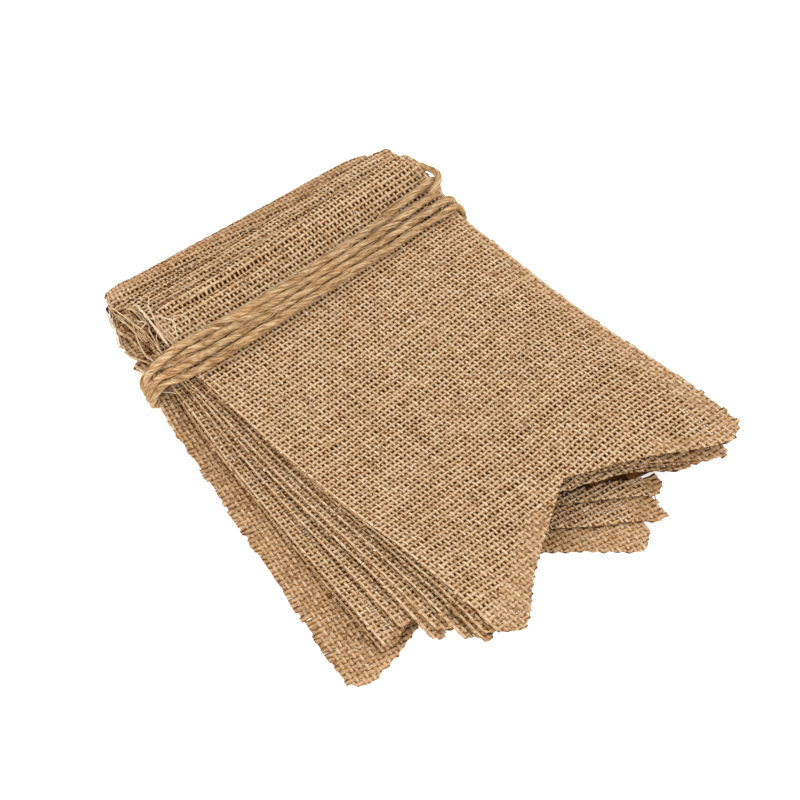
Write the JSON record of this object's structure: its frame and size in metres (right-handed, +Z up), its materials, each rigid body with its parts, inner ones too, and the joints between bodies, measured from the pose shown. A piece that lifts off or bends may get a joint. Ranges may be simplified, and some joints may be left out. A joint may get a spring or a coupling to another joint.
{
  "type": "fabric bunting",
  "caption": "Burlap swallowtail pennants for bunting, heads turned under as string casings, lying fanned in a stack and tied round the heading with jute twine.",
  "frame": {"origin": "centre of the bounding box, on the surface that the stack lies on", "axes": "+X along the heading towards its right end, +Y from the tips towards the heads, +Z up from the surface"},
  "size_m": [0.1988, 0.2504, 0.0346],
  "materials": {
    "burlap": "matt open plain weave of undyed jute",
    "jute_twine": "matt, fuzzy, two-ply undyed jute"
  },
  "bodies": {
    "root": {"pennant_01": "burlap", "pennant_02": "burlap", "pennant_03": "burlap", "pennant_04": "burlap", "pennant_05": "burlap", "pennant_06": "burlap", "pennant_07": "burlap", "pennant_08": "burlap", "pennant_09": "burlap", "pennant_10": "burlap", "twine_tie": "jute_twine"}
  },
  "joints": []
}
